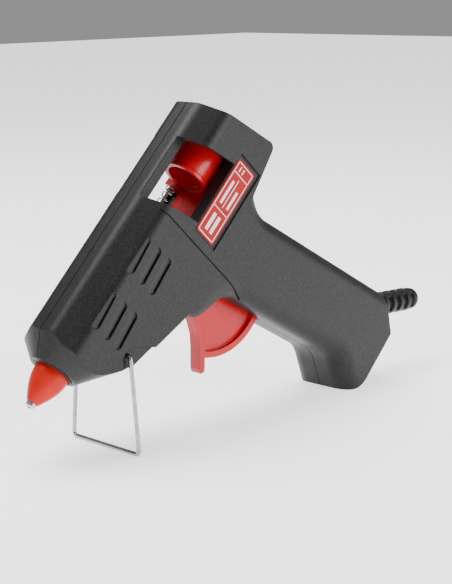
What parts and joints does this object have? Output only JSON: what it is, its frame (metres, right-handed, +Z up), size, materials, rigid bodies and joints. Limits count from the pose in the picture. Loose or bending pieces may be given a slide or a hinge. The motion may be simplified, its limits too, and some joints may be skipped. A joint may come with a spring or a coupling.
{
  "type": "glue gun",
  "caption": "Small black hot glue gun on a folding wire stand, with red trigger, feed carriage, orange-red nozzle cover and ribbed strain relief.",
  "frame": {"origin": "centre of the bounding box in X and Y, on the table surface under the stand and the butt (Z = 0)", "axes": "+Z up, +X from the nozzle back towards the strain relief, +Y to the gun's right side; the parting plane is XZ"},
  "size_m": [0.1966, 0.0356, 0.114],
  "materials": {
    "housing": "fine grained, matte",
    "red_plastic": "glossy",
    "silicone": "satin silicone",
    "nozzle_metal": "polished",
    "collar_resin": "matte",
    "cast_alloy": "as cast",
    "ceramic": "matte ceramic",
    "contact_brass": "satin",
    "amber_film": "glossy film",
    "spring_steel": "bright drawn",
    "clear_silicone": "satin",
    "screw_steel": "zinc plated",
    "label_print": "printed film",
    "black_rubber": "satin",
    "lead_sleeving": "woven glass sleeving",
    "grip_rubber": "matte",
    "stand_wire": "bright drawn"
  },
  "bodies": {
    "housing": {"housing_left": "housing", "housing_right": "housing", "housing_screws": "screw_steel", "nozzle": "nozzle_metal", "nozzle_cover": "silicone", "nozzle_collar": "collar_resin", "heating_chamber": "cast_alloy", "ptc_heater": "ceramic", "electrode_plates": "contact_brass", "insulation_film": "amber_film", "heater_clip": "spring_steel", "inlet_sleeve": "clear_silicone", "sleeve_clamp": "spring_steel", "trigger_pin": "screw_steel", "label": "label_print", "strain_relief": "black_rubber", "cord_clamp": "housing", "cord_clamp_screws": "screw_steel", "crimp_connectors": "contact_brass", "heater_leads": "lead_sleeving", "return_spring": "spring_steel"},
    "trigger": {"trigger": "red_plastic"},
    "carriage": {"carriage": "red_plastic", "grip_ring": "grip_rubber"},
    "stand": {"stand": "stand_wire"}
  },
  "joints": [
    {"name": "trigger_hinge", "type": "hinge", "parent": "housing", "child": "trigger", "pos_m": [-0.01582, 0, 0.04824], "axis": [0, -1, 0], "range_deg": [0, 20], "stiffness_Nm_per_rad": 0.25, "springref_deg": -8.59},
    {"name": "carriage_slide", "type": "slide", "parent": "housing", "child": "carriage", "axis": [-0.723, 0, -0.6909], "range_m": [0, 0.0095], "deforming": ["return_spring"]},
    {"name": "stand_hinge", "type": "hinge", "parent": "housing", "child": "stand", "pos_m": [-0.06587, 0, 0.03395], "axis": [0, -1, 0], "range_deg": [0, 85]}
  ],
  "couplings": [
    {"joint": "carriage_slide", "follows": "trigger_hinge", "m_per_rad": 0.0258}
  ]
}
